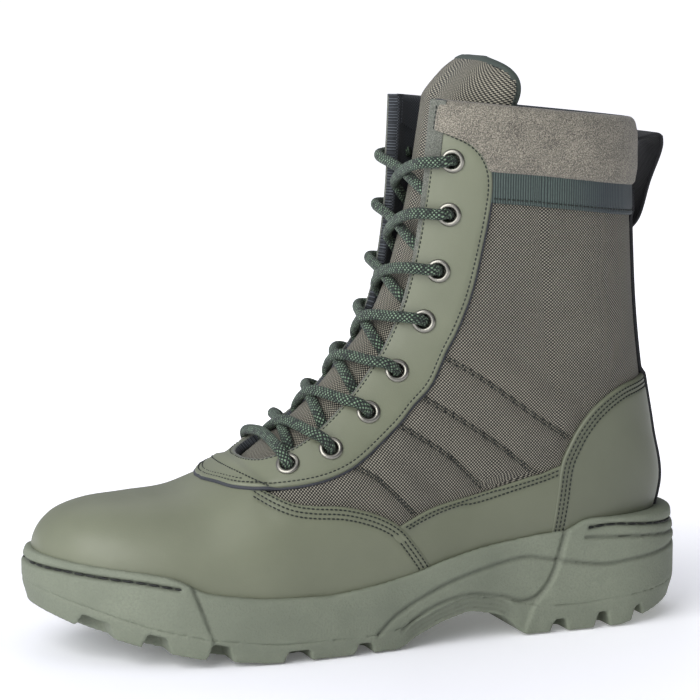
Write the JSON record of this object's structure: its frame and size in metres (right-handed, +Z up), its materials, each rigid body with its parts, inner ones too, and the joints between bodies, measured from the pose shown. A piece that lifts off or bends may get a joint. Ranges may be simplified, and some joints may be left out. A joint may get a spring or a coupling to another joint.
{
  "type": "hiking boot",
  "caption": "High lace-up hiking boot with a lugged rubber cup sole, leather overlays on a cloth shaft, tongue, laces and a pull loop, for walking on rough ground.",
  "frame": {"origin": "on the floor under the flat middle of the heel, 60 mm ahead of the back of the sole", "axes": "+X to the toe, +Y to the outer side of this left boot, +Z up"},
  "size_m": [0.304, 0.1082, 0.2578],
  "materials": {
    "sole_rubber": "matt moulded sage-green rubber with a fine stipple",
    "footbed": "dark cloth over foam",
    "cordura": "coarse two-tone woven nylon, matt",
    "leather": "smooth sage-green coated leather, satin",
    "microsuede": "speckled padded microfibre nap",
    "webbing": "dark green ribbed woven tape",
    "lace_cord": "round braided cord, dark green",
    "eyelet_metal": "antique silver, worn"
  },
  "bodies": {
    "root": {"outsole": "sole_rubber", "midsole": "sole_rubber", "insole": "footbed", "upper": "cordura", "vamp": "leather", "eyestay": "leather", "side_panel_outer": "leather", "side_panel_inner": "leather", "heel_counter_outer": "leather", "heel_counter_inner": "leather", "collar_cuff": "microsuede", "collar_webbing": "webbing", "back_strap": "webbing", "pull_loop": "webbing", "tongue": "cordura", "lace_bar": "lace_cord", "eyelet_outer_1": "eyelet_metal", "eyelet_inner_1": "eyelet_metal", "eyelet_outer_2": "eyelet_metal", "eyelet_inner_2": "eyelet_metal", "eyelet_outer_3": "eyelet_metal", "eyelet_inner_3": "eyelet_metal", "eyelet_outer_4": "eyelet_metal", "eyelet_inner_4": "eyelet_metal", "eyelet_outer_5": "eyelet_metal", "eyelet_inner_5": "eyelet_metal", "eyelet_outer_6": "eyelet_metal", "eyelet_inner_6": "eyelet_metal", "eyelet_outer_7": "eyelet_metal", "eyelet_inner_7": "eyelet_metal", "eyelet_outer_8": "eyelet_metal", "eyelet_inner_8": "eyelet_metal", "lace_crossing_1": "lace_cord", "lace_crossing_2": "lace_cord", "lace_crossing_3": "lace_cord", "lace_crossing_4": "lace_cord", "lace_crossing_5": "lace_cord", "lace_crossing_6": "lace_cord", "lace_crossing_7": "lace_cord"}
  },
  "joints": []
}
